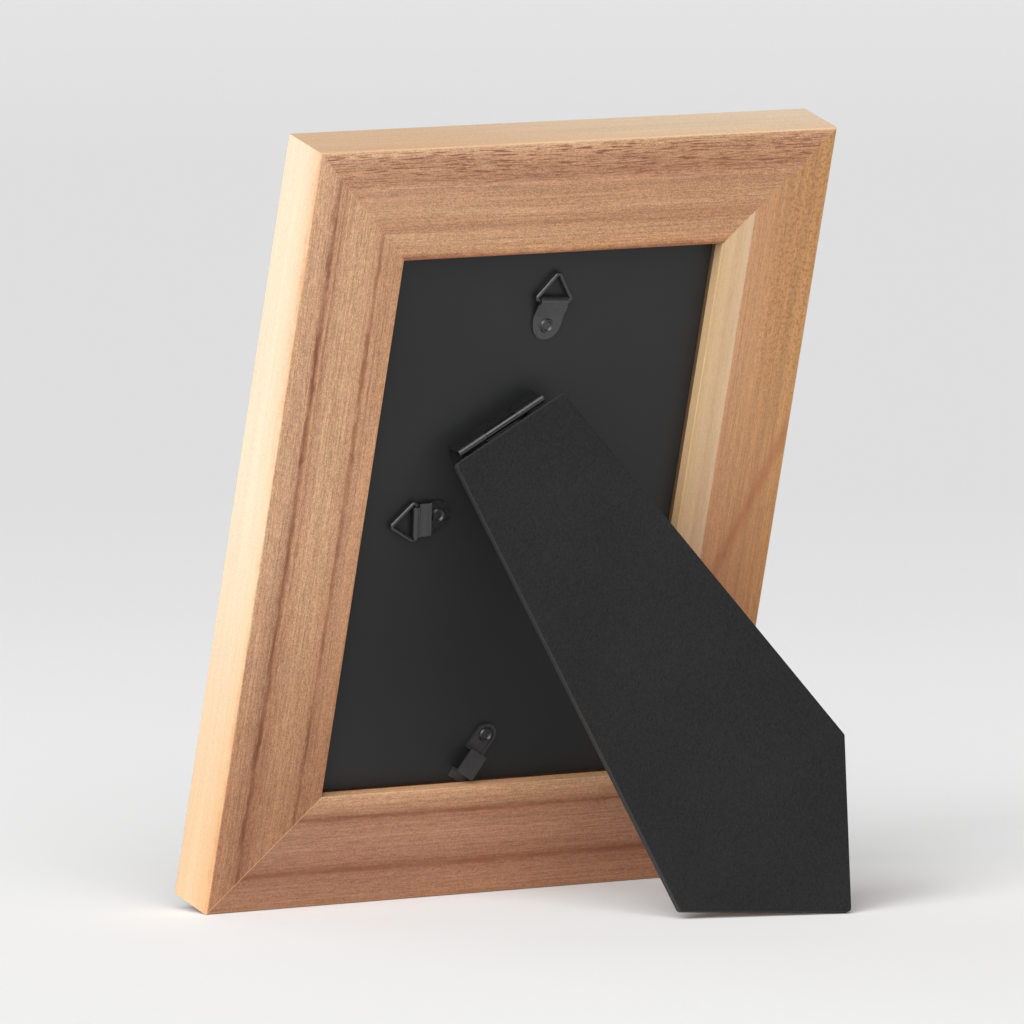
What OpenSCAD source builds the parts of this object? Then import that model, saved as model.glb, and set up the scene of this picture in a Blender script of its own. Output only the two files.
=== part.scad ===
// Wooden tabletop picture frame with a slanting easel leg, a turn clip and two hangers.
// Everything is drawn in the plane of the frame's back, as seen from behind: x to the
// right, y up from the bottom edge, z out of the back. stand() then leans it back on
// its rear bottom edge, with the front facing -Y and the surface it stands on at z = 0.

/* [Wooden frame] */
// Width of the opening in the back
opening_w = 103.6; // [95:0.2:125]
// Height of the opening in the back
opening_h = 154.4; // [145:0.2:180]
// Width of a rail's back face
rail_w = 32; // [28:0.5:40]
// Depth of the rails from front to back
rail_d = 17; // [15:0.5:22]
// How far the front lip reaches over the glass
lip_w = 6; // [4:0.5:8]
// Depth of the inner wall behind the saw kerf
kerf_back = 3.2; // [2.5:0.1:3.4]
// Depth of the saw kerf into the rail
kerf_deep = 2.8; // [2.4:0.1:4]
// Rounding of the rails' front edges
front_r = 1; // [0.5:0.1:2]
// Rounding of the rails' back edges
back_r = 0.5; // [0.2:0.1:1]

/* [Filling] */
// Recess from the rails' back face to the backboard
recess = 4; // [3.8:0.1:4.5]
// Thickness of the backboard with its paper
board_t = 2.5; // [2:0.1:3]
// Thickness of the spacer card
spacer_t = 1.2; // [0.6:0.1:1.5]
// Thickness of the paper print
print_t = 0.3; // [0.2:0.1:0.4]
// Thickness of the glass
glass_t = 2; // [1.5:0.1:2]

/* [Easel leg] */
// Angle that the frame leans back
lean = 15.4; // [12:0.1:18]
// Angle between the open leg and the backboard
leg_open = 33; // [30:0.5:36]
// Tilt of the hinge line across the board
hinge_tilt = 31; // [29:0.5:33]
// Width of the leg at its hinge
leg_top_w = 37.4; // [34:0.2:40]
// Thickness of the leg
leg_t = 2.5; // [2:0.1:3]
// Rounding of the leg's corners
leg_corner_r = 1.2; // [0.8:0.1:2]
// Length of the hinge along its pin
hinge_len = 28.8; // [24:0.2:32]

/* [Hangers and clip] */
// Turn of the top hanger from upright
top_hanger_turn = -3.5; // [-10:0.5:10]
// Turn of the side hanger from upright
side_hanger_turn = 98; // [80:0.5:100]
// Angle that the clip stands away from closed
clip_turn = 31; // [0:0.5:60]
// Thickness of the clip, hanger and hinge steel
steel_t = 0.5; // [0.4:0.05:0.6]
// Radius of the hanger wire
wire_r = 0.6; // [0.5:0.05:0.7]

/* [Hidden] */
$fn = 48;

// Overall size of the frame in its own plane
frame_w = opening_w + 2 * rail_w;
frame_h = opening_h + 2 * rail_w;

// Layers behind the opening, as heights above the rails' back face
board_z = -recess;
paper_t = 0.3;
board_front_z = board_z - board_t;
rivet_tail_t = 0.4;
spacer_z = board_front_z - rivet_tail_t - 0.1;
print_z = spacer_z - spacer_t;
glass_z = print_z - print_t;
ledge_z = glass_z - glass_t - 0.05;
kerf_front_z = board_front_z - 0.5;

// Backboard: loose at the sides and foot, tucked into the kerf at the top
board_gap = 0.4;
board_tuck = 1.7;
board_w = opening_w - 2 * board_gap;
board_h = opening_h - board_gap + board_tuck;
board_y = rail_w + board_gap;

// Biscuits across the mitres
biscuit_l = 22;
biscuit_w = 12;
biscuit_t = 3;
biscuit_inset = 15;
biscuit_z = -rail_d / 2;

// Rivets: the heads are dished, with a rolled rim
shank_r = 1.2;
hole_r = 1.27;
head_r = 2.1;
head_t = 0.55;
head_bevel = 0.3;
dish_r = 1.1;
dish_top_r = 1.5;
dish_floor = 0.1;

// Hinge: the pin's middle, the knuckles round it, and the leaves. The board's leaf has a
// wall that stands up to the knuckles, lower where the leg's knuckle turns.
hinge_at = [-13, 137.6];
hinge_z = 1.2;
pin_r = 0.6;
pin_hole_r = 0.66;
knuckle_r = 1.15;
knuckle_gap = 0.1;
leg_knuckle_len = hinge_len * 0.36;
leaf_len = 11;
leaf_start = 1.7;
leaf_neck_start = 0.76;
wall_gap = 0.45;
wall_bite = 0.9;
hinge_rivet_at = 7;
hinge_rivet_pitch = 20;

// Leg: its inner face and its outline, measured from the pin along the hinge line and
// down the leg. The foot's outer corner is the one that stands on the surface.
leg_in = -knuckle_r + steel_t;
leg_top = 1.85;
leg_top_mid = 1.3;
leg_wrap_t = 0.35;
leg_edge_r = 0.5;
leg_stud_len = 1.4;
leg_elbow = [33.9, 121.7];
elbow_turn = 0.3;
foot_corner_x = 7.5;
foot_inner = [-33, 135.8];
// Height of a point of the leg above the surface: height = foot_a + foot_b * x - foot_c * y
foot_a = cos(lean) * (hinge_at.y + leg_in * sin(leg_open) * cos(hinge_tilt))
         - sin(lean) * (hinge_z + leg_in * cos(leg_open));
foot_b = cos(lean) * sin(hinge_tilt);
foot_c = cos(lean) * cos(leg_open) * cos(hinge_tilt) + sin(lean) * sin(leg_open);
foot_centre = [foot_corner_x, (foot_a + foot_b * foot_corner_x
                               - leg_corner_r * norm([foot_b, foot_c])) / foot_c];

// Hangers, each drawn pointing up from its rivet. The strap is a strip that lies on the
// board at the rivet, rises, and curls round the base of the wire ring. The bends are
// [distance from the rivet, height of the strip's middle above the board].
top_hanger_at = [0.3, 164.1];
side_hanger_at = [-25.6, 110.8];
strap_w = 9.6;
strap_end_r = 4.55;
strap_end_at = 0.6;
loop_at = 7.5;
loop_w = 8.8;
loop_hole_r = wire_r + 0.07;
loop_r = loop_hole_r + steel_t;
loop_z = board_z + loop_r;
wide_to = loop_at - loop_r - 0.2;
sloped_bends = [[1.9, steel_t / 2], [2.6, 0.33], [3.3, 0.56], [wide_to, 1.62]];
sloped_curl = [[wide_to, 1.62], [loop_at - 0.5, 1.96], [loop_at, loop_r * 2 - steel_t / 2]];
stepped_bends = [[2.7, steel_t / 2], [3, 1.56], [3.3, 1.66], [4.3, 1.5], [5.3, 1.15],
                 [wide_to, 1]];
stepped_curl = [[wide_to, 1], [loop_at - 1, 1.05]];
ring_half_w = 6.1;
ring_h = 8.1;
ring_bend_r = 0.7;

// Turn clip, drawn pointing straight down from its rivet
clip_at = [1.3, 45.4];
clip_tab_r = 3.3;
clip_step = 5.2;
clip_plate_end = 12.6;
clip_tongue_end = 14.9;
clip_fold = 0.1;
clip_z = board_z + 0.05;
clip_plate_z = -1;
clip_rim_t = 0.3;
clip_rim_w = 0.8;
clip_side = 0.2;

// Depth of the standing frame, from its front bottom edge to the foot's outer corner
front_y = -rail_d * cos(lean);
foot_z = hinge_z + foot_centre.y * sin(leg_open) + (leg_in + leg_t) * cos(leg_open);
foot_up = hinge_at.y + foot_centre.x * sin(hinge_tilt)
          - foot_centre.y * cos(leg_open) * cos(hinge_tilt)
          + (leg_in + leg_t) * sin(leg_open) * cos(hinge_tilt);
foot_dir = [cos(lean) * sin(leg_open) - sin(lean) * cos(leg_open) * cos(hinge_tilt),
            sin(lean) * sin(hinge_tilt)];
back_y = foot_z * cos(lean) + foot_up * sin(lean) + leg_corner_r * norm(foot_dir);

// From the plane of the back to the standing frame
module stand() {
  translate([0, -(front_y + back_y) / 2, 0])
    rotate([-lean, 0, 0])
      rotate([90, 0, 180])
        children();
}

// A slab of the given thickness whose far side is at height z
module slab(z, t) {
  translate([0, 0, z - t])
    linear_extrude(t)
      children();
}

function unit(v) = v / norm(v);

// Points of the arc of radius r that rounds corner p between its neighbours a and b
function arc_at(a, p, b, r, steps = 6) =
  r == 0 ? [p] :
  let (ua = unit(a - p), ub = unit(b - p),
       half = acos(ua * ub) / 2,
       centre = p + unit(ua + ub) * r / sin(half),
       from = p + ua * r / tan(half) - centre,
       turn = -sign(cross(ua, ub)) * (180 - 2 * half))
  [for (i = [0:steps])
    let (s = sin(turn * i / steps), c = cos(turn * i / steps))
    centre + [from.x * c - from.y * s, from.x * s + from.y * c]];

// Outline through corners given as [x, y, rounding radius]
function rounded(pts) =
  let (n = len(pts))
  [for (i = [0:n - 1])
    let (a = pts[(i + n - 1) % n], p = pts[i], b = pts[(i + 1) % n])
    each arc_at([a.x, a.y], [p.x, p.y], [b.x, b.y], p[2])];

// ---- Wooden frame ----

// Section of a rail: x from the outer edge inwards, y out of the back
module rail_section() {
  polygon(rounded([
    [0, 0, back_r], [0, -rail_d, front_r],
    [rail_w + lip_w, -rail_d, front_r], [rail_w + lip_w, ledge_z, 0.3],
    [rail_w, ledge_z, 0], [rail_w, kerf_front_z, 0],
    [rail_w - kerf_deep, kerf_front_z, 0], [rail_w - kerf_deep, -kerf_back, 0],
    [rail_w, -kerf_back, 0], [rail_w, 0, back_r * 0.6]]));
}

// Lens-shaped biscuit, with its long axis along x
module biscuit(gap = 0) {
  r = (pow(biscuit_l / 2, 2) + pow(biscuit_w / 2, 2)) / biscuit_w;
  translate([0, 0, biscuit_z - biscuit_t / 2 - gap])
    linear_extrude(biscuit_t + 2 * gap)
      intersection_for(side = [-1, 1])
        translate([0, side * (r - biscuit_w / 2)])
          circle(r + gap, $fn = 96);
}

// Rail of the given length along x, mitred at both ends, its outer edge on y = 0
module rail(length) {
  mitre = rail_w + lip_w + 1;
  difference() {
    intersection() {
      rotate([90, 0, 90])
        linear_extrude(length, center = true)
          rail_section();
      slab(1, rail_d + 2)
        polygon([[-length / 2, 0], [length / 2, 0],
                 [length / 2 - mitre, mitre], [mitre - length / 2, mitre]]);
    }
    for (side = [-1, 1])
      translate([side * (length / 2 - biscuit_inset), biscuit_inset, 0])
        rotate([0, 0, -side * 45])
          biscuit(0.1);
  }
}

module bottom_rail() {
  color("peru") stand() rail(frame_w);
}

module top_rail() {
  color("burlywood") stand()
    translate([0, frame_h, 0]) rotate([0, 0, 180]) rail(frame_w);
}

module left_rail() {
  color("tan") stand()
    translate([-frame_w / 2, frame_h / 2, 0]) rotate([0, 0, -90]) rail(frame_h);
}

module right_rail() {
  color("sandybrown") stand()
    translate([frame_w / 2, frame_h / 2, 0]) rotate([0, 0, 90]) rail(frame_h);
}

module corner_biscuits() {
  color("wheat") stand()
    for (side = [-1, 1], end = [-1, 1])
      translate([side * (frame_w / 2 - biscuit_inset),
                 frame_h / 2 + end * (frame_h / 2 - biscuit_inset), 0])
        rotate([0, 0, side * end * 45])
          biscuit();
}

// ---- What the frame holds ----

// Sheet that fills the opening but for the given gap all round
module opening_sheet(z, t, gap) {
  slab(z, t)
    translate([-opening_w / 2 + gap, rail_w + gap])
      square([opening_w - 2 * gap, opening_h - 2 * gap]);
}

module glass_pane() {
  color("lightcyan") stand() opening_sheet(glass_z, glass_t, 0.3);
}

module paper_print() {
  color("whitesmoke") stand() opening_sheet(print_z, print_t, 0.9);
}

module spacer_card() {
  color("tan") stand() opening_sheet(spacer_z, spacer_t, 0.6);
}

// From the plane of the back to the hinge: x along the pin, y down the leg, z outwards
module at_hinge() {
  translate([hinge_at.x, hinge_at.y, 0])
    rotate([0, 0, hinge_tilt])
      mirror([0, 1, 0])
        children();
}

// From the hinge to the open leg, whose inner face is then at z = leg_in
module at_leg() {
  translate([0, 0, hinge_z])
    rotate([leg_open, 0, 0])
      children();
}

module hinge_rivet_places() {
  for (side = [-1, 1])
    translate([side * hinge_rivet_pitch / 2, hinge_rivet_at])
      children();
}

// Layer of the backboard between two heights, with its rivet holes
module board_layer(z, t) {
  difference() {
    slab(z, t)
      translate([-board_w / 2, board_y])
        square([board_w, board_h]);
    for (at = [top_hanger_at, side_hanger_at, clip_at])
      translate([at.x, at.y, z - t - 1]) cylinder(r = hole_r, h = t + 2);
    at_hinge() hinge_rivet_places()
      translate([0, 0, z - t - 1]) cylinder(r = hole_r, h = t + 2);
  }
}

module backboard_core() {
  color("sienna") stand() board_layer(board_z - paper_t, board_t - paper_t);
}

module backboard_paper() {
  color("#262626") stand() board_layer(board_z, paper_t);
}

// Rivet through the board: a dished head that starts at height z, a shank and a tail
module rivet(z) {
  difference() {
    union() {
      translate([0, 0, z])
        cylinder(r1 = head_r, r2 = head_r - head_bevel, h = head_t);
      translate([0, 0, board_front_z]) cylinder(r = shank_r, h = z - board_front_z);
    }
    translate([0, 0, z + dish_floor])
      cylinder(r1 = dish_r, r2 = dish_top_r, h = head_t - dish_floor + 0.001);
  }
  translate([0, 0, board_front_z - rivet_tail_t])
    cylinder(r = head_r, h = rivet_tail_t);
}

// ---- Easel hinge ----

// Knuckle of the given length round the pin, its middle at x
module knuckle(x, length) {
  translate([x - length / 2, 0, 0])
    rotate([0, 90, 0])
      difference() {
        cylinder(r = knuckle_r, h = length);
        translate([0, 0, -1]) cylinder(r = pin_hole_r, h = length + 2);
      }
}

// Leaf that lies under the leg, riveted to the board, with a wall up to its two knuckles
module hinge_board_leaf() {
  ear_len = (hinge_len - leg_knuckle_len) / 2 - knuckle_gap;
  ear_x = (hinge_len - ear_len) / 2;
  wall_top = hinge_z - knuckle_r - wall_gap;
  color("#1c1c1c") stand() at_hinge()
    difference() {
      union() {
        translate([-hinge_len / 2, -steel_t / 2, board_z])
          cube([hinge_len, leaf_len, steel_t]);
        translate([-hinge_len / 2, -steel_t / 2, board_z])
          cube([hinge_len, steel_t, wall_top - board_z]);
        for (side = [-1, 1]) {
          translate([side * ear_x - ear_len / 2, -steel_t / 2, board_z])
            cube([ear_len, steel_t, hinge_z - wall_bite - board_z]);
          translate([0, 0, hinge_z]) knuckle(side * ear_x, ear_len);
        }
      }
      hinge_rivet_places()
        translate([0, 0, board_z - 1]) cylinder(r = hole_r, h = 3);
    }
}

module hinge_board_rivets() {
  color("#303030") stand() at_hinge() hinge_rivet_places() rivet(board_z + steel_t);
}

module hinge_pin() {
  color("#3a3a3a") stand() at_hinge()
    translate([-hinge_len / 2, 0, hinge_z])
      rotate([0, 90, 0])
        cylinder(r = pin_r, h = hinge_len);
}

// Leaf on the leg's inner face, with the middle knuckle
module hinge_leg_leaf() {
  color("#1c1c1c") stand() at_hinge() at_leg()
    difference() {
      union() {
        knuckle(0, leg_knuckle_len);
        translate([-leg_knuckle_len / 2, leaf_neck_start, -knuckle_r])
          cube([leg_knuckle_len, leaf_len - leaf_neck_start, steel_t]);
        translate([-hinge_len / 2, leaf_start, -knuckle_r])
          cube([hinge_len, leaf_len - leaf_start, steel_t]);
      }
      hinge_rivet_places()
        translate([0, 0, -knuckle_r - 1]) cylinder(r = hole_r, h = 3);
    }
}

// Short rivets that fix the leaf into the leg's core
module hinge_leg_rivets() {
  color("#303030") stand() at_hinge() at_leg() hinge_rivet_places() {
    translate([0, 0, -knuckle_r]) cylinder(r = shank_r, h = steel_t + leg_stud_len);
    translate([0, 0, -knuckle_r - head_t])
      cylinder(r1 = head_r - head_bevel, r2 = head_r, h = head_t);
  }
}

// ---- Leg ----

// Outline of the leg, its edges drawn in by the given amount
module leg_outline(inset = 0) {
  r = leg_corner_r - inset;
  top = leg_top + leg_corner_r;
  hull()
    for (centre = [[leg_top_mid - leg_top_w / 2 + leg_corner_r, top],
                   [leg_top_mid + leg_top_w / 2 - leg_corner_r, top],
                   leg_elbow - leg_corner_r * [1, elbow_turn],
                   foot_centre,
                   foot_inner + leg_corner_r * [1, -elbow_turn]])
      translate(centre) circle(r, $fn = 32);
}

// Hardboard inside the wrap, showing on the inner face
module leg_core() {
  color("#2e2a27") stand() at_hinge() at_leg()
    difference() {
      translate([0, 0, leg_in]) linear_extrude(leg_t - leg_wrap_t) leg_outline(leg_wrap_t);
      hinge_rivet_places()
        translate([0, 0, leg_in - 1]) cylinder(r = hole_r, h = leg_stud_len + 1.05);
    }
}

// Textured paper over the outer face and round the edges, which it rounds off
module leg_cover() {
  color("#202020") stand() at_hinge() at_leg()
    difference() {
      hull()
        for (a = [0:30:90])
          translate([0, 0, leg_in])
            linear_extrude(leg_t - leg_edge_r * (1 - sin(a)))
              leg_outline(leg_edge_r * (1 - cos(a)));
      translate([0, 0, leg_in - 1]) linear_extrude(leg_t - leg_wrap_t + 1)
        leg_outline(leg_wrap_t);
    }
}

// ---- Hangers ----

// Strip of the given width that follows the bends, its middle line at their heights
module strip(bends, width) {
  translate([-width / 2, 0, board_z]) rotate([90, 0, 90]) linear_extrude(width)
    for (i = [1:len(bends) - 1])
      hull()
        for (bend = [bends[i - 1], bends[i]])
          translate(bend) circle(d = steel_t, $fn = 16);
}

// Hanger strap at its rivet: a round end, the bends up, and the curl round the ring's base
module strap(bends, curl) {
  difference() {
    union() {
      translate([0, 0, board_z]) linear_extrude(steel_t) hull() {
        translate([0, strap_end_at]) circle(strap_end_r);
        translate([-strap_w / 2, bends[0].x - steel_t]) square([strap_w, steel_t]);
      }
      strip(bends, strap_w);
      strip(curl, loop_w);
      translate([-loop_w / 2, loop_at, loop_z]) rotate([0, 90, 0])
        cylinder(r = loop_r, h = loop_w);
    }
    translate([-loop_w / 2 - 1, loop_at, loop_z]) rotate([0, 90, 0])
      cylinder(r = loop_hole_r, h = loop_w + 2);
    translate([0, 0, board_z - 1]) cylinder(r = hole_r, h = 4);
  }
}

// Triangle of wire with three round bends, its base along x and its top towards y.
// The wire is one closed tube round the triangle's centreline.
module ring() {
  line = rounded([[-ring_half_w, 0, ring_bend_r], [ring_half_w, 0, ring_bend_r],
                  [0, ring_h, ring_bend_r]]);
  n = len(line);
  sides = 16;
  points = [
    for (i = [0:n - 1])
      let (before = unit(line[i] - line[(i + n - 1) % n]),
           after = unit(line[(i + 1) % n] - line[i]),
           along = unit(before + after))
      for (k = [0:sides - 1])
        let (out = wire_r * cos(360 * k / sides), up = wire_r * sin(360 * k / sides))
        [line[i].x + along.y * out, line[i].y - along.x * out, up]];
  faces = [
    for (i = [0:n - 1], k = [0:sides - 1])
      let (j = (i + 1) % n, m = (k + 1) % sides)
      [i * sides + k, i * sides + m, j * sides + m, j * sides + k]];
  polyhedron(points, faces, convexity = 4);
}

module at_hanger(at, turn) {
  translate([at.x, at.y, 0]) rotate([0, 0, turn]) children();
}

module top_hanger_strap() {
  color("#242424") stand() at_hanger(top_hanger_at, top_hanger_turn)
    strap(sloped_bends, sloped_curl);
}

module top_hanger_ring() {
  color("#2b2b2b") stand() at_hanger(top_hanger_at, top_hanger_turn)
    translate([0, loop_at, loop_z]) ring();
}

module top_hanger_rivet() {
  color("#303030") stand() at_hanger(top_hanger_at, 0) rivet(board_z + steel_t);
}

module side_hanger_strap() {
  color("#242424") stand() at_hanger(side_hanger_at, side_hanger_turn)
    strap(stepped_bends, stepped_curl);
}

module side_hanger_ring() {
  color("#2b2b2b") stand() at_hanger(side_hanger_at, side_hanger_turn)
    translate([0, loop_at, loop_z]) ring();
}

module side_hanger_rivet() {
  color("#303030") stand() at_hanger(side_hanger_at, 0) rivet(board_z + steel_t);
}

// ---- Turn clip ----

// Clip that turns on its rivet: a rimmed tab, a raised plate and a tongue for the kerf
module turn_clip() {
  plate_w = 2 * (clip_tab_r - clip_side);
  plate_top = clip_plate_z - clip_z;
  plate_end_in = clip_plate_end - steel_t;
  color("#242424") stand() at_hanger(clip_at, -clip_turn) translate([0, 0, clip_z])
    difference() {
      union() {
        difference() {
          linear_extrude(steel_t + clip_rim_t) clip_tab(clip_tab_r);
          translate([0, 0, steel_t]) linear_extrude(1) clip_tab(clip_tab_r - clip_rim_w);
        }
        mirror([0, 1, 0]) rotate([90, 0, 90])
          linear_extrude(plate_w, center = true)
            polygon([[clip_step - clip_fold, 0], [clip_step, plate_top],
                     [clip_plate_end, plate_top], [clip_plate_end + clip_fold, steel_t],
                     [clip_tongue_end, steel_t], [clip_tongue_end, 0],
                     [plate_end_in, 0], [plate_end_in - clip_fold, plate_top - steel_t],
                     [clip_step + steel_t, plate_top - steel_t],
                     [clip_step + steel_t, 0]]);
      }
      translate([0, 0, -1]) cylinder(r = hole_r, h = 3);
    }
}

// Tab outline: a round end at the rivet and straight sides down to the step
module clip_tab(r) {
  circle(r);
  translate([-r, -clip_step]) square([2 * r, clip_step]);
}

module turn_clip_rivet() {
  color("#303030") stand() at_hanger(clip_at, 0) rivet(clip_z + steel_t + 0.05);
}

bottom_rail();
top_rail();
left_rail();
right_rail();
corner_biscuits();
glass_pane();
paper_print();
spacer_card();
backboard_core();
backboard_paper();
hinge_board_leaf();
hinge_board_rivets();
hinge_pin();
hinge_leg_leaf();
hinge_leg_rivets();
leg_core();
leg_cover();
top_hanger_strap();
top_hanger_ring();
top_hanger_rivet();
side_hanger_strap();
side_hanger_ring();
side_hanger_rivet();
turn_clip();
turn_clip_rivet();
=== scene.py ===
import math

import bpy
from mathutils import Matrix, Vector


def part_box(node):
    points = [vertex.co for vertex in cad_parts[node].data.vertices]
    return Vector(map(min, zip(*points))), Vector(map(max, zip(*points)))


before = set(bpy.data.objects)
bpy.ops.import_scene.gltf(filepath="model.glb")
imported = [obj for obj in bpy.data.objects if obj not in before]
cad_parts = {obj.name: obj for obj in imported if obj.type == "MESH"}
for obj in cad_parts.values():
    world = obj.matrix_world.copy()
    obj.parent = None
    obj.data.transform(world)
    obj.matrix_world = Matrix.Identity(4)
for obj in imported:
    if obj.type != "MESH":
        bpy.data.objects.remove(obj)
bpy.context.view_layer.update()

MM = 0.001

# ---- Lengths of the design in millimetres, and its angles ----
LEAN = math.radians(15.4)
RAIL_W, RAIL_D = 32.0, 17.0
OPENING_W, OPENING_H = 103.6, 154.4
FRAME_W, FRAME_H = OPENING_W + 2 * RAIL_W, OPENING_H + 2 * RAIL_W
# The print fills the opening; its border shows inside the 6 mm front lip
PRINT_W, PRINT_H, PRINT_BORDER = OPENING_W - 1.0, OPENING_H - 1.0, 14.0
LEG_OPEN = math.radians(33)
HINGE_TILT = math.radians(31)
# The rear bottom edge of the frame lies on the floor at this y
REAR_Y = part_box("bottom_rail")[0].y / MM + RAIL_D * math.cos(LEAN)

# ---- Camera, fitted to the corners of the frame, the opening and the leg ----
FOCAL_LENGTH, SENSOR_WIDTH = 545.35, 36
CAMERA_AT = (2.3269, 3.4790, 0.5232)
CAMERA_LOOK = Vector((-0.55156, -0.82828, -0.09863))


def add_camera():
    data = bpy.data.cameras.new("camera")
    data.sensor_width = SENSOR_WIDTH
    data.lens = FOCAL_LENGTH
    data.clip_start, data.clip_end = 0.05, 100
    camera = bpy.data.objects.new("camera", data)
    bpy.context.scene.collection.objects.link(camera)
    camera.location = CAMERA_AT
    camera.rotation_euler = CAMERA_LOOK.to_track_quat("-Z", "Y").to_euler()
    bpy.context.scene.camera = camera


# ---- Node helper ----
NOISE_LOW, NOISE_HIGH = 0.3, 0.7     # nearly all of a noise lies between these


def linear(red, green, blue):
    """Linear colour of an sRGB colour given as 0 to 255."""
    def channel(value):
        value /= 255
        return value / 12.92 if value <= 0.04045 else ((value + 0.055) / 1.055) ** 2.4
    return (channel(red), channel(green), channel(blue), 1.0)


class Shader:
    """One procedural material. Values may be numbers, tuples or other nodes' sockets."""

    def __init__(self, name):
        self.mat = bpy.data.materials.new(name)
        self.mat.use_nodes = True
        self.tree = self.mat.node_tree
        self.tree.nodes.clear()
        self.bsdf = self.new("BsdfPrincipled")
        self.new("OutputMaterial", {"Surface": self.bsdf.outputs[0]})

    def put(self, socket, value):
        if isinstance(value, bpy.types.NodeSocket):
            self.tree.links.new(value, socket)
        else:
            socket.default_value = value

    def new(self, kind, inputs=None, **settings):
        """New node, with its settings and then its inputs, by number or by name."""
        node = self.tree.nodes.new("ShaderNode" + kind)
        for name, value in settings.items():
            setattr(node, name, value)
        for key, value in (inputs or {}).items():
            self.put(node.inputs[key], value)
        return node

    def set(self, **values):
        """Values of the surface, by the names of its sockets with _ for a space."""
        for name, value in values.items():
            self.put(self.bsdf.inputs[name.replace("_", " ")], value)

    # Numbers
    def math(self, operation, *values):
        return self.new("Math", dict(enumerate(values)), operation=operation).outputs[0]

    def add(self, a, b):
        return self.math("ADD", a, b)

    def sub(self, a, b):
        return self.math("SUBTRACT", a, b)

    def mul(self, a, b):
        return self.math("MULTIPLY", a, b)

    def gap(self, a, b):
        """How far apart two values are."""
        return self.math("ABSOLUTE", self.sub(a, b))

    def span(self, value, low, high, to_low=0.0, to_high=1.0):
        """Value between low and high, spread smoothly over to_low and to_high."""
        inputs = dict(enumerate((value, low, high, to_low, to_high)))
        return self.new("MapRange", inputs, interpolation_type="SMOOTHSTEP").outputs[0]

    def fall(self, value, low, high, top=1.0):
        """Top up to low, and from there smoothly down to 0 at high."""
        return self.span(value, low, high, top, 0.0)

    def fit(self, noise, low, high):
        """A noise, made to run from low to high."""
        return self.span(noise, NOISE_LOW, NOISE_HIGH, low, high)

    def moved(self, value, noise, reach):
        """Value, moved by a noise by up to reach either way."""
        return self.math("MULTIPLY_ADD", self.sub(noise, 0.5), reach * 2, value)

    # Textures
    def vector(self, x, y, z):
        return self.new("CombineXYZ", {0: x, 1: y, 2: z}).outputs[0]

    def scaled(self, place, x, y, z, seed=0.0):
        """Vector of the three coordinates, each times its own number."""
        return self.vector(self.math("MULTIPLY_ADD", place[0], x, seed),
                           self.mul(place[1], y), self.mul(place[2], z))

    def noise(self, vector, detail=2.0, roughness=0.5, distortion=0.0):
        return self.new("TexNoise", {
            "Vector": vector, "Scale": 1.0, "Detail": detail, "Roughness": roughness,
            "Distortion": distortion}).outputs["Fac"]

    def even_noise(self, place, scale, detail=2.0, roughness=0.5, distortion=0.0):
        """Noise of the same scale, per mm, in all directions."""
        return self.noise(self.scaled(place, scale, scale, scale),
                          detail, roughness, distortion)

    def cells(self, vector):
        """Distance to the middle of the nearest cell, with soft borders."""
        return self.new("TexVoronoi", {"Vector": vector, "Scale": 1.0},
                        feature="SMOOTH_F1").outputs["Distance"]

    def bump(self, height, distance, strength):
        return self.new("Bump", {"Height": height, "Distance": distance,
                                 "Strength": strength}).outputs[0]

    # Colours
    def ramp(self, factor, stops):
        node = self.new("ValToRGB", {0: factor})
        elements = node.color_ramp.elements
        elements[0].position, elements[0].color = stops[0]
        elements[1].position, elements[1].color = stops[-1]
        for place, colour in stops[1:-1]:
            elements.new(place).color = colour
        return node.outputs[0]

    def shades(self, noise, dark, light):
        """Colours from dark to light by a noise."""
        return self.ramp(noise, [(NOISE_LOW, dark), (NOISE_HIGH, light)])

    def mix(self, factor, a, b, mode="MIX"):
        return self.new("Mix", {0: factor, 6: a, 7: b},
                        data_type="RGBA", blend_type=mode).outputs[2]

    def gain(self, colour, factor):
        """Colour times a number."""
        return self.new("VectorMath", {0: colour, "Scale": factor},
                        operation="SCALE").outputs[0]

    # Places
    def millimetres(self, plane=False):
        """Object coordinates in mm; with plane, (x, z, y) of the plane of the back, where
        x runs to the left as seen from behind."""
        mapping = {"Vector": self.new("TexCoord").outputs["Object"],
                   "Scale": (1 / MM, 1 / MM, 1 / MM)}
        if plane:
            mapping["Rotation"] = (LEAN, 0, 0)
            mapping["Location"] = (0, -REAR_Y * math.cos(LEAN), -REAR_Y * math.sin(LEAN))
        return self.new("SeparateXYZ", {0: self.new("Mapping", mapping).outputs[0]}).outputs

    def facing(self, normal):
        """How far the surface faces along a normal of the object's own space, which turns
        with its body: 1 along it, 0 across it."""
        inputs = {0: self.new("TexCoord").outputs["Normal"], 1: normal}
        along = self.new("VectorMath", inputs, operation="DOT_PRODUCT").outputs["Value"]
        return self.math("ABSOLUTE", along)


# ---- Wood ----
WOOD_TONE = 0.87     # how bright all the wood is
# A profile's colours run over these distances from the outer edge, in mm
PROFILE_FROM, PROFILE_TO = -12.0, 38.0
# The grain is tilted in the section: this much across for each mm out of the back
GRAIN_TILT = 0.6
# Where the small blots lie on a rail, in mm along and across
BLOTS_ALONG, BLOTS_ACROSS = (120, 165), (9, 21)
BLOT, PORE, FLECK = linear(140, 88, 48), linear(146, 92, 66), linear(124, 72, 50)
RING, STREAK = linear(122, 74, 50), linear(158, 98, 68)
# Colours of the painted highlights on the arris and along the mitre
ARRIS_HIGHLIGHT, MITRE_HIGHLIGHT = linear(222, 176, 132), linear(226, 178, 132)
WHITE = (1, 1, 1)


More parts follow.
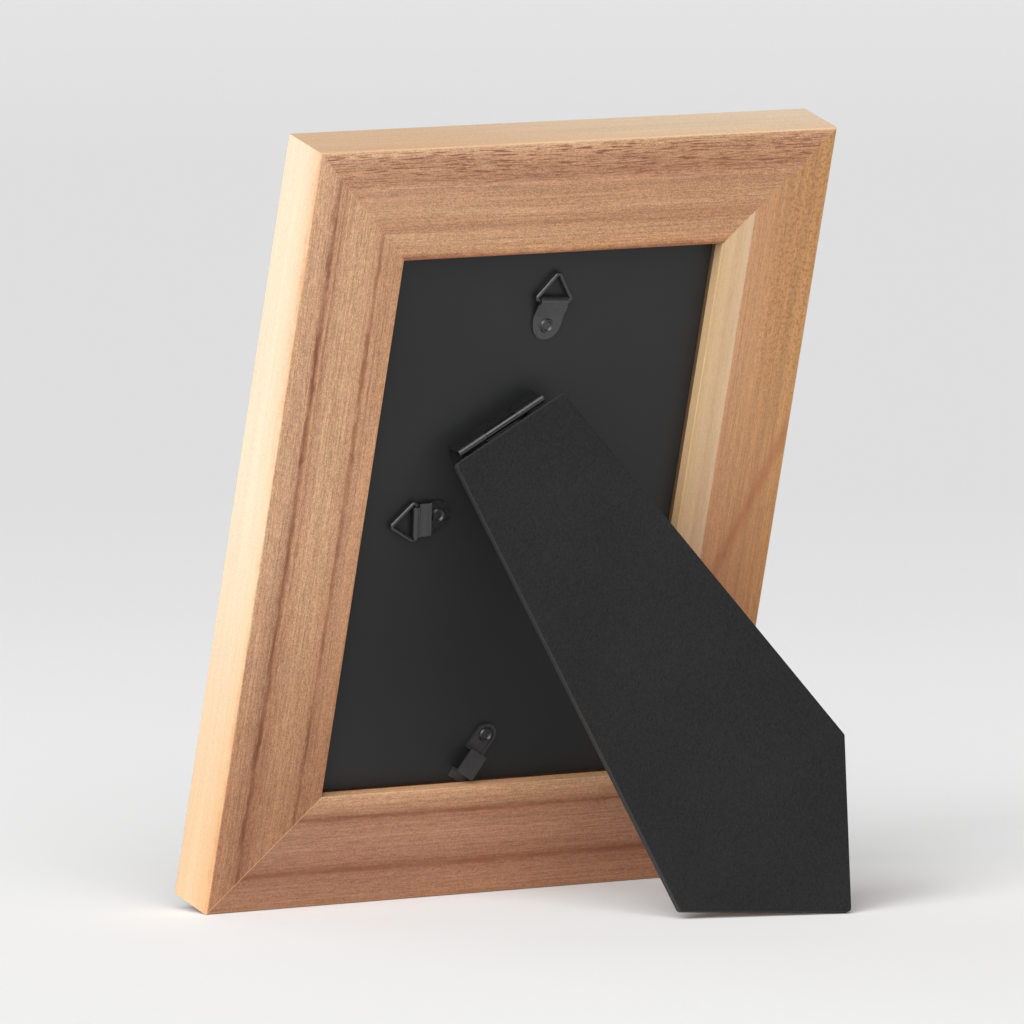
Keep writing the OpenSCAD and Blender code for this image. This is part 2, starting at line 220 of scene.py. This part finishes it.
def rail_place(s, rail):
    """Place on a rail in mm: along it, up or to the right as seen from behind; across it
    from its outer edge; out of the back; and from its nearer end."""
    x, z, y = s.millimetres(plane=True)
    if rail in ("top", "bottom"):
        along = s.mul(x, -1.0)
        across = y if rail == "bottom" else s.sub(FRAME_H, y)
        end = s.sub(FRAME_W / 2, s.math("ABSOLUTE", along))
    else:
        along = y
        across = s.math("SUBTRACT" if rail == "left" else "ADD", FRAME_W / 2, x)
        end = s.math("MINIMUM", y, s.sub(FRAME_H, y))
    return along, across, z, end


def wood(rail, profile, seed, sway, jitter, flecks, fleck_reach=40.0, speckle=1.0,
         mottle=0.0, mitre_line=0.0, streak=None, clean=None, rings=(),
         ends=(WHITE, WHITE), side_ends=(WHITE, WHITE), fade=(5, 130)):
    """Moulding of one rail. profile lists (distance from the outer edge in mm, colour);
    below zero it is the outer side, because the grain is tilted. sway and jitter are the
    reach of the grain's slow and small waves in mm. flecks and fleck_reach are how strong
    the large flecks are and how far in they go, and speckle, mottle and mitre_line are
    the strengths of the fine speckle, the blots and the painted highlight along the mitre.
    ends are the tints of painted shade and light on the back at the rail's low or left end
    and at its other end, side_ends are those of the outer side, and fade is where the
    first tint gives way to the other. streak is (where it starts along, across, its slope,
    its half width, its strength), clean is where the even sapwood begins, and rings are
    the dark broken year rings, as (distance from the outer edge, half width, strength)."""
    s = Shader(rail + "_rail_wood")
    along, across, z, end = rail_place(s, rail)
    inside = s.span(across, 0.1, 0.7)     # 1 on the back, 0 on the outer side

    # The grain's own place across the rail
    slow = s.noise(s.vector(s.mul(along, 0.011), seed, s.mul(z, 0.02)), 1.0)
    quick = s.noise(s.vector(s.mul(along, 0.16), s.mul(s.add(across, z), 0.5), seed),
                    4.0, 0.65)
    tilted = s.math("MULTIPLY_ADD", z, GRAIN_TILT, across)
    grain = s.moved(tilted, slow, sway)
    rough_grain = s.moved(grain, quick, jitter)
    flat_place, place = (along, across, z), (along, grain, z)

    # Broad colour across the rail
    reach = PROFILE_TO - PROFILE_FROM
    colour = s.ramp(s.math("DIVIDE", s.sub(rough_grain, PROFILE_FROM), reach),
                    [((at - PROFILE_FROM) / reach, linear(*shade)) for at, shade in profile])

    # Growth bands, streaks and hairs along the grain, the speckle of the cut cells, and
    # the coarser glints where the light picks out single ones
    bands = s.noise(s.scaled(place, 0.008, 0.5, 0.3, seed), 3.0, 0.6)
    streaks = s.noise(s.scaled(place, 0.04, 2.4, 1.2, seed + 3), 3.0, 0.65)
    hairs = s.noise(s.scaled((along, tilted, z), 0.03, 4.2, 3.0, seed + 5), 2.0)
    specks = s.noise(s.scaled(flat_place, 2.4, 3.2, 3.1), 2.0, 0.7)
    glints = s.noise(s.scaled(flat_place, 0.8, 2.0, 2.0), 2.0, 0.6)
    tone = 0.0
    for noise, strength in ((bands, 0.08), (streaks, 0.07), (hairs, 0.1 * speckle),
                            (specks, 0.23 * speckle), (glints, 0.1 * speckle)):
        tone = s.add(tone, s.fit(noise, -strength, strength))
    calm = s.span(inside, 0.0, 1.0, 0.35, 1.0)
    if clean:
        calm = s.mul(calm, s.span(rough_grain, clean, clean + 0.5, 1.0, 0.45))
    colour = s.gain(colour, s.add(s.mul(tone, calm), WOOD_TONE))

    if mottle:
        blots = s.noise(s.vector(s.mul(along, 0.9), s.mul(across, 0.9), seed), 4.0, 0.75)
        where = s.mul(s.span(along, *BLOTS_ALONG), s.fall(across, *BLOTS_ACROSS))
        where = s.mul(s.mul(where, inside), mottle)
        colour = s.mix(s.mul(s.span(blots, 0.46, 0.62), where), colour, BLOT)

    # Pores: thin dark dashes along the grain, in patches
    pores = s.noise(s.scaled(place, 0.28, 4.6, 3.0, seed + 7), 1.0, 0.5)
    patches = s.noise(s.scaled(place, 0.02, 0.16, 0.1, seed + 9), 2.0)
    pores = s.mul(s.span(pores, 0.56, 0.68), s.span(patches, 0.35, 0.7, 0.2, 0.9))
    pores = s.mul(pores, s.mul(calm, calm))
    colour = s.mix(s.mul(pores, 0.5), colour, PORE)

    # Larger flecks towards the outer edge
    fleck = s.noise(s.scaled(place, 0.15, 2.3, 0.8, seed + 11), 3.0, 0.6, 0.25)
    near = s.mul(s.fall(across, fleck_reach * 0.4, fleck_reach), s.span(across, 0.3, 1.8))
    fleck = s.mul(s.span(fleck, 0.51, 0.62), near)
    colour = s.mix(s.mul(fleck, flecks), colour, FLECK)

    present = s.noise(s.vector(s.mul(along, 0.07), seed, 3.0), 3.0, 0.6)
    for at, half_width, strength in rings:
        depth = s.mul(s.fall(s.gap(rough_grain, at), 0.0, half_width, strength), inside)
        colour = s.mix(s.mul(depth, s.span(present, 0.35, 0.62, 0.3, 1.0)), colour, RING)

    if streak:
        start, at, slope, half_width, strength = streak
        line = s.math("MULTIPLY_ADD", s.sub(along, start), slope, at)
        off = s.gap(s.moved(across, quick, 1.5), line)
        colour = s.mix(s.mul(s.fall(off, 0.0, half_width, strength), inside),
                       colour, STREAK)

    # Painted shade and light: the rail is tinted darker or lighter from one end to the other,
    # for how the light falls along it
    first = s.fall(along, *fade)
    side, back = [s.mix(first, other + (1,), low + (1,)) for low, other in (side_ends, ends)]
    colour = s.mix(1.0, colour, s.mix(inside, side, back), "MULTIPLY")

    # Painted highlights: a light line along the back's outer arris, and one along the mitre
    corner = s.math("MAXIMUM", across, s.mul(z, -1.0))
    colour = s.mix(s.fall(corner, 0.1, 0.6, 0.2), colour, ARRIS_HIGHLIGHT)
    if mitre_line:
        joint = s.gap(end, across)
        colour = s.mix(s.mul(s.fall(joint, 0.04, 0.24), mitre_line), colour, MITRE_HIGHLIGHT)

    height = s.add(s.mul(pores, -1.0), s.mul(streaks, 0.4))
    height = s.add(height, s.mul(specks, 0.5))
    s.set(Base_Color=colour, Roughness=s.fit(streaks, 0.5, 0.62),
          Normal=s.bump(height, 0.00006, 0.6), Specular_IOR_Level=0.3, IOR=1.45)
    return s.mat


def left_rail_wood():
    return wood(
        "left", seed=1.7, sway=1.4, jitter=1.4, flecks=0.3, fleck_reach=30, mitre_line=0.6,
        rings=((8.3, 1.2, 0.95), (10.6, 0.5, 0.4), (24.2, 1.1, 0.7), (26.8, 0.4, 0.35)),
        # ends and side_ends are painted shade: the rail darker and more orange towards its
        # bottom
        ends=((0.66, 0.55, 0.5), WHITE), side_ends=((1, 0.8, 0.62), (1.06, 1.03, 1)),
        profile=[
            (-12, (226, 208, 182)), (-5, (228, 211, 186)), (-1, (226, 199, 166)),
            (0.5, (210, 165, 128)), (4, (206, 163, 128)), (7.3, (197, 152, 119)),
            (8.3, (176, 129, 98)), (10, (193, 147, 114)), (14, (205, 162, 126)),
            (20, (205, 162, 124)), (23.3, (194, 148, 114)), (24.2, (180, 133, 100)),
            (26, (195, 149, 115)), (31.5, (190, 143, 107)), (38, (204, 158, 118))])


def top_rail_wood():
    return wood(
        "top", seed=4.2, sway=1.2, jitter=1.0, flecks=0.85, fleck_reach=15,
        # ends is painted shade, darker towards the right end; side_ends paints the outer side
        # lighter towards that end
        ends=(WHITE, (0.92, 0.86, 0.81)), fade=(-70, 80),
        side_ends=((1.06, 0.97, 0.9), (1.14, 1.18, 1.21)),
        profile=[
            (-12, (214, 190, 163)), (-4, (212, 184, 155)), (-0.5, (212, 180, 147)),
            (0.8, (212, 171, 134)), (3, (198, 152, 119)), (6, (190, 144, 112)),
            (9.3, (183, 136, 105)), (11, (195, 149, 117)), (15, (192, 147, 113)),
            (19, (198, 155, 120)), (22, (184, 137, 104)), (26, (198, 155, 118)),
            (30, (196, 148, 109)), (31.4, (150, 98, 70)), (38, (190, 138, 100))])


def right_rail_wood():
    return wood(
        "right", seed=8.1, sway=0.15, jitter=0.12, flecks=0.1, speckle=0.5, mottle=0.6,
        streak=(129, 1.5, -0.41, 3.2, 0.55), clean=22.4,
        # ends is painted shade, darker towards the bottom
        ends=((0.82, 0.72, 0.69), WHITE), fade=(70, 150),
        profile=[
            (-12, (226, 192, 148)), (-1, (214, 170, 118)), (0.5, (196, 147, 96)),
            (4, (193, 144, 98)), (10, (190, 141, 98)), (17, (193, 145, 103)),
            (22.4, (196, 147, 108)), (22.8, (213, 182, 147)), (25, (211, 178, 141)),
            (26.5, (206, 170, 130)), (28, (212, 180, 142)), (31.5, (206, 172, 128)),
            (38, (210, 174, 132))])


def bottom_rail_wood():
    return wood(
        "bottom", seed=6.4, sway=1.0, jitter=0.9, flecks=0.3, speckle=0.85,
        mitre_line=0.6, rings=((10, 1.3, 0.75), (25.2, 0.9, 0.7)),
        # ends is painted light, lighter towards the right end, by the leg
        ends=(WHITE, (1.08, 1.05, 1.02)), fade=(-70, 40),
        profile=[
            (-12, (190, 140, 105)), (0, (162, 116, 87)), (4, (164, 118, 91)),
            (8, (162, 115, 89)), (10, (142, 96, 71)), (12, (158, 112, 86)),
            (16, (168, 123, 96)), (22, (172, 127, 99)), (24, (164, 117, 90)),
            (25.2, (146, 100, 74)), (27, (174, 129, 99)), (31, (200, 156, 120)),
            (38, (198, 152, 114))])


def plain_wood(name):
    """Beech of the biscuits: pale, with short dark flecks."""
    s = Shader(name)
    grain = s.noise(s.scaled(s.millimetres(), 0.4, 2.0, 2.0), 3.0)
    s.set(Base_Color=s.shades(grain, linear(190, 148, 104), linear(222, 188, 146)),
          Roughness=s.fit(grain, 0.6, 0.75), Normal=s.bump(grain, 0.0001, 0.5))
    return s.mat


# ---- Black papers, board, steel ----
# The leg's black, and its edges' colour: a painted highlight with some rubbed paper
LEG_BLACK, LEG_EDGE_SHEEN_AND_WEAR = (0.0128, 0.0128, 0.0132), (0.04, 0.04, 0.041, 1.0)
BOARD_BLACK = (0.0135, 0.0137, 0.0142)
STEEL_BLACK = (0.007, 0.007, 0.0073)
# Turn from the plane of the back (x to the right as seen from behind, y up, z out) to the
# room's axes
BACK_TURN = (Matrix.Rotation(-LEAN, 3, "X") @ Matrix.Rotation(math.pi, 3, "Z")
             @ Matrix.Rotation(math.pi / 2, 3, "X"))
# The easel leg's outer face at rest: the back's normal, turned about the tilted hinge
HINGE_AXIS = Vector((math.cos(HINGE_TILT), math.sin(HINGE_TILT), 0))
LEG_FACE = BACK_TURN @ Matrix.Rotation(-LEG_OPEN, 3, HINGE_AXIS) @ Vector((0, 0, 1))


def leg_paper(name):
    """Black paper embossed like fine leather."""
    s = Shader(name)
    place = s.millimetres()
    pebbles = s.cells(s.scaled(place, 1.7, 1.7, 1.7))
    folds = s.even_noise(place, 1.7, 3.0, 0.6)
    broad = s.even_noise(place, 0.03)
    height = s.add(s.mul(s.sub(1.0, pebbles), 0.8), s.mul(folds, 0.7))
    tone = s.add(s.fit(folds, -0.3, 0.3), s.fit(broad, -0.06, 0.06))
    colour = s.gain(LEG_BLACK, s.add(tone, 1.0))
    # Painted highlight with rubbed paper on the rounded edges, where the surface turns from
    # the face's normal
    colour = s.mix(s.fall(s.facing(LEG_FACE), 0.6, 0.97, 0.8), colour, LEG_EDGE_SHEEN_AND_WEAR)
    s.set(Base_Color=colour, Roughness=s.fit(folds, 0.6, 0.75),
          Normal=s.bump(height, 0.00016, 0.9), Specular_IOR_Level=0.12)
    return s.mat


def board_paper(name):
    """Smooth black paper with a faint fibre."""
    s = Shader(name)
    place = s.millimetres()
    fibre = s.even_noise(place, 3.0, 3.0, 0.7)
    broad = s.even_noise(place, 0.02)
    tone = s.add(s.fit(fibre, -0.08, 0.08), s.fit(broad, -0.05, 0.05))
    s.set(Base_Color=s.gain(BOARD_BLACK, s.add(tone, 1.0)),
          Roughness=s.fit(fibre, 0.42, 0.5), Normal=s.bump(fibre, 0.00002, 0.5),
          Specular_IOR_Level=0.3)
    return s.mat


def fibreboard(name, dark, light):
    """Hardboard: matted wood fibres."""
    s = Shader(name)
    place = s.millimetres()
    fibres = s.even_noise(place, 1.1, 5.0, 0.75, 0.6)
    fine = s.even_noise(place, 5.0)
    s.set(Base_Color=s.gain(s.shades(fibres, dark, light), s.fit(fine, 0.9, 1.1)),
          Roughness=s.fit(fibres, 0.7, 0.85), Normal=s.bump(fibres, 0.0001, 0.6))
    return s.mat


def black_steel(name, shade=1.0, rough=0.3):
    """Steel with a satin black coat, a little rubbed. shade scales its colour, so copies with
    shade above or below 1 are painted lighter or darker for the light on their parts.
    """
    s = Shader(name)
    place = s.millimetres()
    coat = s.even_noise(place, 4.5, 3.0, 0.6)
    rubs = s.even_noise(place, 0.7, 4.0, 0.7)
    s.set(Base_Color=s.gain(STEEL_BLACK, s.fit(rubs, 0.85 * shade, 1.2 * shade)),
          Roughness=s.span(rubs, 0.35, 0.65, rough - 0.03, rough + 0.05),
          Normal=s.bump(coat, 0.00002, 0.5), Specular_IOR_Level=0.8)
    return s.mat


def card(name):
    """Grey-brown card."""
    s = Shader(name)
    fibre = s.even_noise(s.millimetres(), 2.0, 4.0, 0.7)
    s.set(Base_Color=s.shades(fibre, linear(166, 148, 122), linear(196, 178, 150)),
          Roughness=s.fit(fibre, 0.75, 0.9), Normal=s.bump(fibre, 0.00004, 0.5))
    return s.mat


# ---- Print and glass ----
# The sky's colours from low to high, and the hills from the far one to the near one, as
# (height of the crest above the print's middle in mm, its rise and fall, seed, colour)
SKY = [(0.0, linear(236, 226, 208)), (0.4, linear(214, 222, 224)),
       (1.0, linear(176, 198, 212))]
HILLS = ((8, 34, 2.0, linear(166, 182, 178)), (-12, 40, 5.0, linear(126, 148, 134)),
         (-34, 36, 9.0, linear(92, 112, 90)))


def print_paper(name):
    """Print with a white border round three plain hills under a pale sky."""
    s = Shader(name)
    x, z, y = s.millimetres(plane=True)
    up = s.sub(y, FRAME_H / 2)
    scenery = s.ramp(s.span(up, -20, 60), SKY)
    for level, rise, seed, shade in HILLS:
        ridge = s.noise(s.vector(s.mul(x, 0.018), seed, 0.0), 2.0, 0.4)
        crest = s.moved(level, ridge, rise / 2)
        scenery = s.mix(s.fall(s.sub(up, crest), 0.0, 0.5), scenery, shade)
    border = s.math("MAXIMUM",
                    s.sub(s.math("ABSOLUTE", x), PRINT_W / 2 - PRINT_BORDER),
                    s.sub(s.math("ABSOLUTE", up), PRINT_H / 2 - PRINT_BORDER))
    fibre = s.noise(s.vector(s.mul(x, 1.6), s.mul(y, 1.6), 0.0), 4.0, 0.7)
    paper = s.shades(fibre, linear(238, 235, 229), linear(246, 244, 239))
    s.set(Base_Color=s.mix(s.span(border, 0.0, 0.2), scenery, paper),
          Roughness=s.fit(fibre, 0.4, 0.55), Normal=s.bump(fibre, 0.00002, 0.4))
    return s.mat


def glass(name):
    """Clear pane with faint, broad differences in its polish."""
    s = Shader(name)
    waves = s.even_noise(s.millimetres(), 0.02, 1.0)
    s.set(Base_Color=(0.985, 0.995, 0.99, 1.0), Roughness=s.fit(waves, 0.005, 0.02),
          Transmission_Weight=1.0, IOR=1.5)
    return s.mat


def dress(obj, material):
    """Puts one material on an object's slots."""
    if not obj.data.materials:
        obj.data.materials.append(material)
    for index in range(len(obj.data.materials)):
        obj.data.materials[index] = material


def dress_nodes():
    """Gives every CAD node its material."""
    steel = black_steel("black_steel")
    # Painted light and shade: copies of the black steel made lighter for the top strap,
    # rivets and clip and darker for the hinge pin, for how the light falls on them
    strap_steel_painted_light = black_steel("strap_steel_painted_light", 1.9, 0.3)
    rivet_steel_painted_light = black_steel("rivet_steel_painted_light", 1.3, 0.38)
    pin_steel_painted_shade = black_steel("pin_steel_painted_shade", 0.4, 0.14)
    materials = {
        "bottom_rail": bottom_rail_wood(), "top_rail": top_rail_wood(),
        "left_rail": left_rail_wood(), "right_rail": right_rail_wood(),
        "corner_biscuits": plain_wood("biscuit_wood"),
        "glass_pane": glass("glass"), "paper_print": print_paper("print_paper"),
        "spacer_card": card("card"),
        "backboard_core": fibreboard("back_board", linear(92, 66, 46),
                                     linear(138, 104, 76)),
        "backboard_paper": board_paper("board_paper"),
        "leg_core": fibreboard("leg_board", linear(34, 30, 27), linear(60, 52, 46)),
        "leg_cover": leg_paper("leg_paper"),
        "hinge_board_leaf": steel, "hinge_board_rivets": rivet_steel_painted_light,
        "hinge_pin": pin_steel_painted_shade,
        "hinge_leg_leaf": pin_steel_painted_shade, "hinge_leg_rivets": rivet_steel_painted_light,
        "top_hanger_strap": strap_steel_painted_light, "top_hanger_ring": steel,
        "top_hanger_rivet": rivet_steel_painted_light,
        "side_hanger_strap": steel, "side_hanger_ring": steel,
        "side_hanger_rivet": rivet_steel_painted_light,
        "turn_clip": black_steel("clip_steel_painted_light", 2.1, 0.34), "turn_clip_rivet": rivet_steel_painted_light}
    for node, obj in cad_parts.items():
        dress(obj, materials[node])


# ---- Floor and light ----
FLOOR_HALF = 14.0     # half the floor's side, in metres
# The sweep's painted light: its tones run from its near side, which lies this way and this
# far from the object, over its depth, in metres; they are darker in the middle distance,
# where the light falls off
SWEEP_TOWARDS, SWEEP_NEAR, SWEEP_DEPTH = (0.5542, 0.8324), 0.4, 4.4
SWEEP_PAINTED_LIGHT = ((0.0, 0.895), (0.08, 0.86), (0.12, 0.87), (0.18, 0.845), (0.27, 0.77),
               (0.35, 0.735), (0.7, 0.735), (1.0, 0.79))


def floor_material():
    s = Shader("floor")
    place = s.millimetres()
    grit = s.even_noise(place, 0.4, 3.0)
    towards = s.add(s.mul(place[0], SWEEP_TOWARDS[0]), s.mul(place[1], SWEEP_TOWARDS[1]))
    depth = s.math("DIVIDE", s.add(s.mul(towards, -MM), SWEEP_NEAR), SWEEP_DEPTH)
    # Painted light: the floor's tone falls off with depth, darker in the middle distance
    colour = s.ramp(depth, [(at, (tone, tone, tone, 1)) for at, tone in SWEEP_PAINTED_LIGHT])
    s.set(Base_Color=s.gain(colour, s.fit(grit, 0.997, 1.003)),
          Roughness=s.fit(grit, 0.7, 0.75), Specular_IOR_Level=0.1)
    return s.mat


def add_floor():
    mesh = bpy.data.meshes.new("floor")
    half = FLOOR_HALF
    mesh.from_pydata([(-half, -half, 0), (half, -half, 0), (half, half, 0), (-half, half, 0)],
                     [], [(0, 1, 2, 3)])
    floor = bpy.data.objects.new("floor", mesh)
    bpy.context.scene.collection.objects.link(floor)
    dress(floor, floor_material())


def add_world(strength):
    world = bpy.data.worlds.new("studio")
    bpy.context.scene.world = world
    world.use_nodes = True
    back = world.node_tree.nodes["Background"]
    back.inputs[0].default_value = (1, 1, 1, 1)
    back.inputs[1].default_value = strength


def add_sun(name, azimuth, elevation, angle, strength):
    """Sun as wide as angle, which stands at azimuth (0 is +X, 90 is +Y) and elevation, all
    in degrees; strength 1 lights a facing white surface to full white."""
    a, e = math.radians(azimuth), math.radians(elevation)
    towards = Vector((math.cos(a) * math.cos(e), math.sin(a) * math.cos(e), math.sin(e)))
    data = bpy.data.lights.new(name, "SUN")
    data.angle = math.radians(angle)
    data.energy = strength * math.pi
    light = bpy.data.objects.new(name, data)
    bpy.context.scene.collection.objects.link(light)
    light.rotation_euler = towards.to_track_quat("Z", "Y").to_euler()


add_camera()
dress_nodes()
bpy.context.scene.view_settings.view_transform = "Standard"
bpy.context.scene.view_settings.look = "None"
add_floor()
add_world(0.22)
add_sun("key", 15, 35, angle=30, strength=0.42)
add_sun("front", 56, 38, angle=60, strength=0.72)
add_sun("low", 37, 15, angle=50, strength=0.36)
add_sun("fill", -75, 8, angle=40, strength=0.22)
